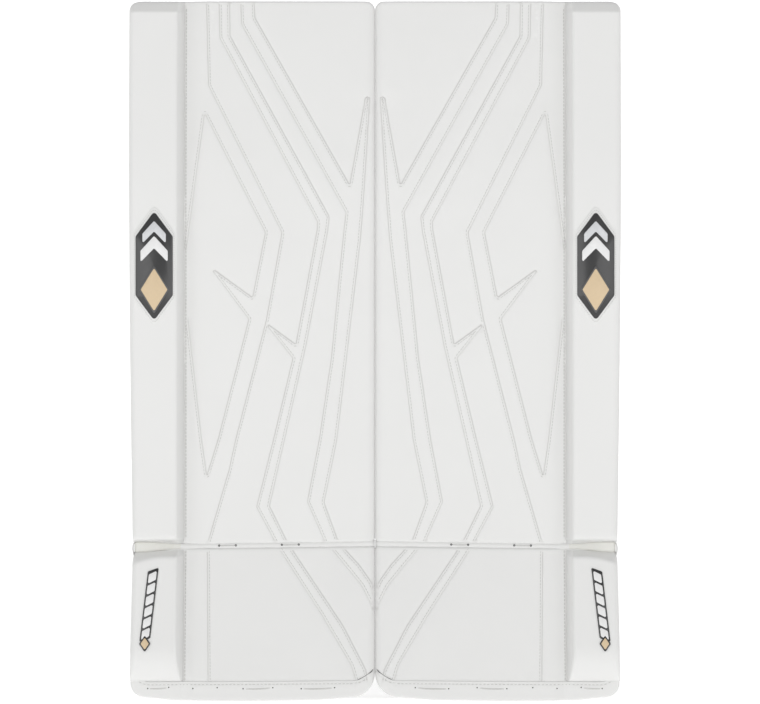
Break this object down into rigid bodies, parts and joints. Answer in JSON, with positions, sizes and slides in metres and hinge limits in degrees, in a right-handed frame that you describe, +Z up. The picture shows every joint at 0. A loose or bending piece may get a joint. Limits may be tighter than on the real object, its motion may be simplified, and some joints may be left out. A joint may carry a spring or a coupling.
{
  "type": "goalie leg pads",
  "caption": "Pair of white ice-hockey goalie leg pads with outer rolls, flexing boots, knee stacks, and hinged calf and knee wraps with straps.",
  "frame": {"origin": "on the ground under the middle of the pair", "axes": "+X from the wearer's right pad to the left pad, +Y from the faces to the wraps, +Z up; the faces look along -Y"},
  "size_m": [0.5598, 0.2028, 0.796],
  "materials": {
    "white_leather": "smooth satin synthetic leather with a fine grain",
    "white_nylon": "woven nylon",
    "charcoal_liner": "brushed liner cloth",
    "foam": "closed-cell foam",
    "black_webbing": "woven webbing",
    "white_lace": "woven flat lace",
    "break_fold": "folded synthetic leather, slightly yellowed",
    "badge": "moulded badge",
    "ring_steel": "polished steel wire"
  },
  "bodies": {
    "right_boot": {"right_boot_core": "foam", "right_boot_cover": "white_leather", "right_boot_roll": "white_leather", "right_boot_badge": "badge", "right_boot_liner": "white_nylon", "right_toe_band": "white_leather", "right_toe_lace": "white_lace", "right_break_gusset": "break_fold", "right_break_lace": "white_lace", "right_inner_boot_wing": "white_leather", "right_outer_boot_wing": "white_leather", "right_boot_strap": "black_webbing", "right_toe_bridge": "black_webbing"},
    "right_shin": {"right_shin_core": "foam", "right_shin_cover": "white_leather", "right_shin_roll": "white_leather", "right_roll_badge": "badge", "right_shin_back": "white_nylon", "right_slide_panel": "white_leather", "right_knee_stack": "white_leather", "right_knee_pad": "charcoal_liner", "right_knee_cradle": "charcoal_liner", "right_shin_cushion": "charcoal_liner", "right_inner_calf_wrap": "white_leather"},
    "right_calf_wrap": {"right_outer_calf_wrap": "white_leather", "right_upper_calf_strap": "black_webbing", "right_lower_calf_strap": "black_webbing"},
    "right_knee_wrap": {"right_knee_wrap": "white_leather", "right_knee_strap": "black_webbing"},
    "right_toe_ring": {"right_toe_ring": "ring_steel"},
    "left_boot": {"left_boot_core": "foam", "left_boot_cover": "white_leather", "left_boot_roll": "white_leather", "left_boot_badge": "badge", "left_boot_liner": "white_nylon", "left_toe_band": "white_leather", "left_toe_lace": "white_lace", "left_break_gusset": "break_fold", "left_break_lace": "white_lace", "left_inner_boot_wing": "white_leather", "left_outer_boot_wing": "white_leather", "left_boot_strap": "black_webbing", "left_toe_bridge": "black_webbing"},
    "left_shin": {"left_shin_core": "foam", "left_shin_cover": "white_leather", "left_shin_roll": "white_leather", "left_roll_badge": "badge", "left_shin_back": "white_nylon", "left_slide_panel": "white_leather", "left_knee_stack": "white_leather", "left_knee_pad": "charcoal_liner", "left_knee_cradle": "charcoal_liner", "left_shin_cushion": "charcoal_liner", "left_inner_calf_wrap": "white_leather"},
    "left_calf_wrap": {"left_outer_calf_wrap": "white_leather", "left_upper_calf_strap": "black_webbing", "left_lower_calf_strap": "black_webbing"},
    "left_knee_wrap": {"left_knee_wrap": "white_leather", "left_knee_strap": "black_webbing"},
    "left_toe_ring": {"left_toe_ring": "ring_steel"}
  },
  "joints": [
    {"name": "pads_apart", "type": "slide", "parent": "right_boot", "child": "left_boot", "axis": [1, 0, 0], "range_m": [0, 0.35]},
    {"name": "right_boot_flex", "type": "hinge", "parent": "right_boot", "child": "right_shin", "pos_m": [-0.1405, -0.03816, 0.177], "axis": [1, 0, 0], "range_deg": [-12, 8], "stiffness_Nm_per_rad": 45, "deforming": ["right_break_gusset", "right_break_lace"]},
    {"name": "right_calf_wrap_hinge", "type": "hinge", "parent": "right_shin", "child": "right_calf_wrap", "pos_m": [-0.266, -0.01796, 0.3], "axis": [0, 0, 1], "range_deg": [0, 80], "stiffness_Nm_per_rad": 0.15},
    {"name": "right_knee_wrap_hinge", "type": "hinge", "parent": "right_shin", "child": "right_knee_wrap", "pos_m": [-0.266, -0.01796, 0.5], "axis": [0, 0, 1], "range_deg": [0, 75], "stiffness_Nm_per_rad": 0.08},
    {"name": "right_toe_ring_swing", "type": "hinge", "parent": "right_boot", "child": "right_toe_ring", "pos_m": [-0.14, -0.04044, 0.03], "axis": [1, 0, 0], "range_deg": [-5, 70]},
    {"name": "left_boot_flex", "type": "hinge", "parent": "left_boot", "child": "left_shin", "pos_m": [0.1405, -0.03816, 0.177], "axis": [1, 0, 0], "range_deg": [-12, 8], "stiffness_Nm_per_rad": 45, "deforming": ["left_break_gusset", "left_break_lace"]},
    {"name": "left_calf_wrap_hinge", "type": "hinge", "parent": "left_shin", "child": "left_calf_wrap", "pos_m": [0.266, -0.01796, 0.3], "axis": [0, 0, -1], "range_deg": [0, 80], "stiffness_Nm_per_rad": 0.15},
    {"name": "left_knee_wrap_hinge", "type": "hinge", "parent": "left_shin", "child": "left_knee_wrap", "pos_m": [0.266, -0.01796, 0.5], "axis": [0, 0, -1], "range_deg": [0, 75], "stiffness_Nm_per_rad": 0.08},
    {"name": "left_toe_ring_swing", "type": "hinge", "parent": "left_boot", "child": "left_toe_ring", "pos_m": [0.14, -0.04044, 0.03], "axis": [1, 0, 0], "range_deg": [-5, 70]}
  ]
}
